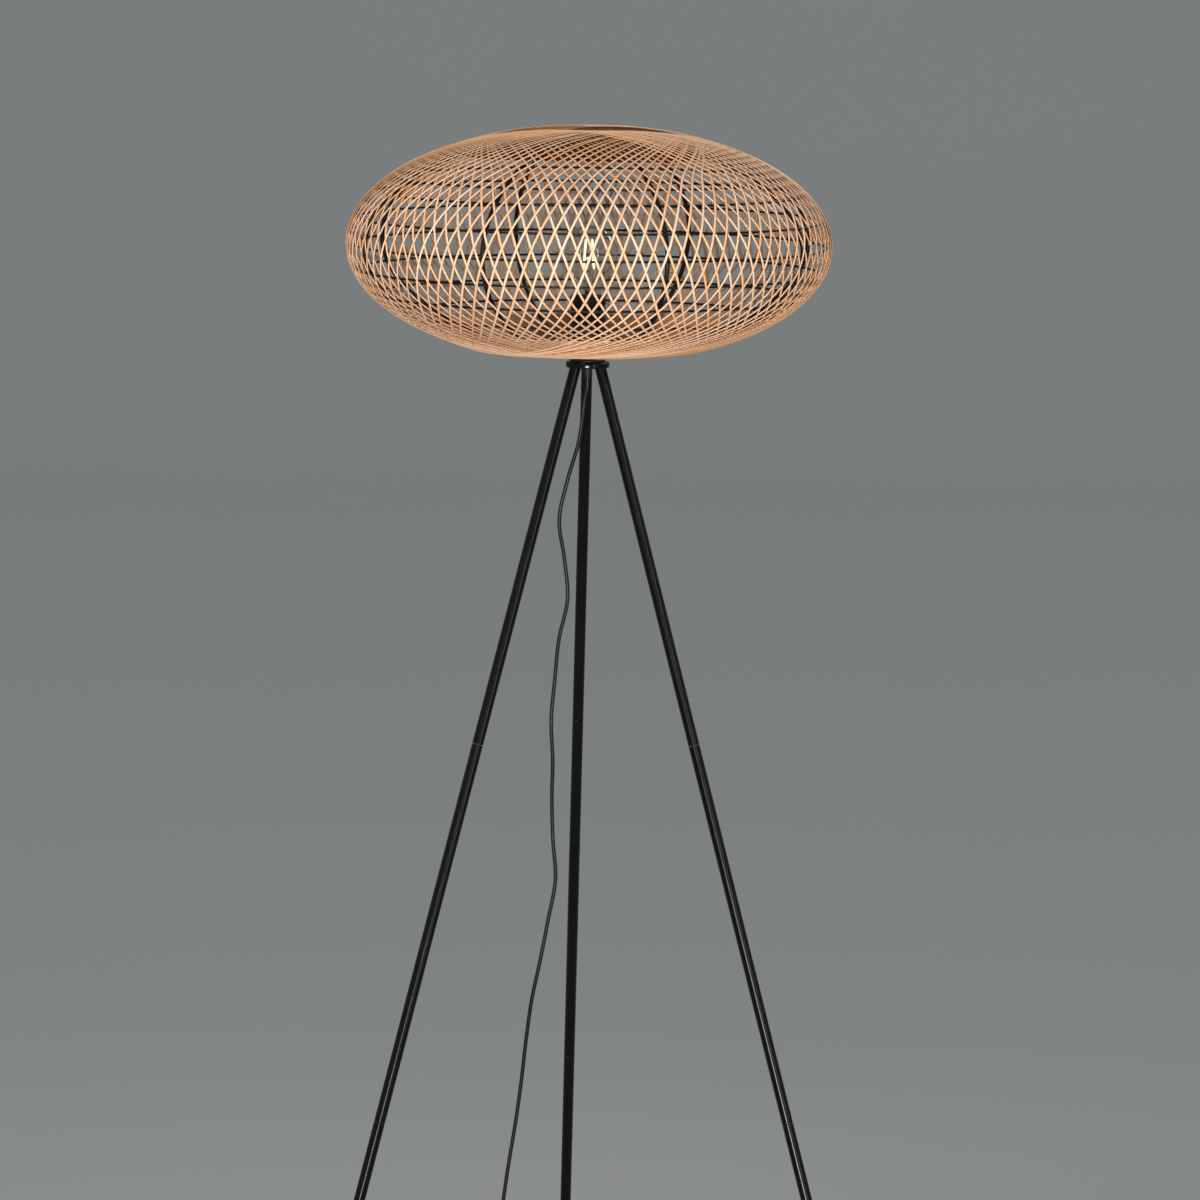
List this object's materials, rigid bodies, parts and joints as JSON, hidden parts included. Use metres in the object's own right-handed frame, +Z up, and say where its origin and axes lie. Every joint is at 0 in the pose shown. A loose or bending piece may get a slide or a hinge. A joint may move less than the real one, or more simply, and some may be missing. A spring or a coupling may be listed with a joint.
{
  "type": "rattan floor lamp",
  "caption": "Floor lamp with a flattened round shade of woven cane strands over a thin tripod of black tubes, with a clear bulb and a hanging cord with a rocker switch.",
  "frame": {"origin": "on the floor, under the middle of the box round the lamp without its cord, switch and plug", "axes": "+Z up, -Y towards the viewer of the picture, +X to the viewer's right"},
  "size_m": [0.6338, 0.613, 1.4022],
  "materials": {
    "coated_steel": "black powder coat, semi-gloss",
    "frame_wire": "black paint, satin",
    "rattan": "natural peeled cane, matte to satin",
    "foot_rubber": "matte",
    "black_plastic": "fine matte",
    "dark_plastic": "fine matte",
    "cord_sheath": "satin",
    "shell_brass": "bright",
    "plated_steel": "zinc or nickel plate",
    "ceramic": "glazed porcelain",
    "clear_glass": "clear",
    "filament": "coated light-emitting rod"
  },
  "bodies": {
    "lamp": {"hub_plate": "coated_steel", "leg_back_upper": "coated_steel", "leg_back_middle": "coated_steel", "leg_back_lower": "coated_steel", "leg_left_upper": "coated_steel", "leg_left_middle": "coated_steel", "leg_left_lower": "coated_steel", "leg_right_upper": "coated_steel", "leg_right_middle": "coated_steel", "leg_right_lower": "coated_steel", "foot_back": "foot_rubber", "foot_left": "foot_rubber", "foot_right": "foot_rubber", "threaded_nipple": "plated_steel", "carrier_nut": "plated_steel", "cord_gland": "dark_plastic", "shade_carrier": "frame_wire", "ring_top_opening": "frame_wire", "ring_bottom_opening": "frame_wire", "ring_upper_end": "frame_wire", "ring_upper_outer": "frame_wire", "ring_upper_inner": "frame_wire", "ring_middle": "frame_wire", "ring_lower_inner": "frame_wire", "ring_lower_outer": "frame_wire", "ring_lower_end": "frame_wire", "rib_1": "frame_wire", "rib_2": "frame_wire", "rib_3": "frame_wire", "rib_4": "frame_wire", "rib_5": "frame_wire", "rib_6": "frame_wire", "rib_7": "frame_wire", "rib_8": "frame_wire", "woven_shade": "rattan", "holder_cap": "black_plastic", "holder_sleeve": "black_plastic", "holder_insert": "ceramic", "holder_screw_shell": "shell_brass", "bulb_contact": "ceramic", "bulb_cap": "plated_steel", "bulb_glass": "clear_glass", "bulb_stem": "clear_glass", "bulb_filament_1": "filament", "bulb_filament_2": "filament", "bulb_filament_3": "filament", "bulb_filament_4": "filament", "cord_hanging": "cord_sheath", "cord_coil": "cord_sheath", "switch_base": "black_plastic", "switch_cover": "black_plastic", "plug_body": "black_plastic", "plug_pin_a": "plated_steel", "plug_pin_b": "plated_steel"},
    "rocker": {"switch_rocker": "black_plastic"}
  },
  "joints": [
    {"name": "switch_rocker_tilt", "type": "hinge", "parent": "lamp", "child": "rocker", "pos_m": [-0.206, -0.06232, 0.0127], "axis": [0, 1, 0], "range_deg": [0, 16]}
  ]
}
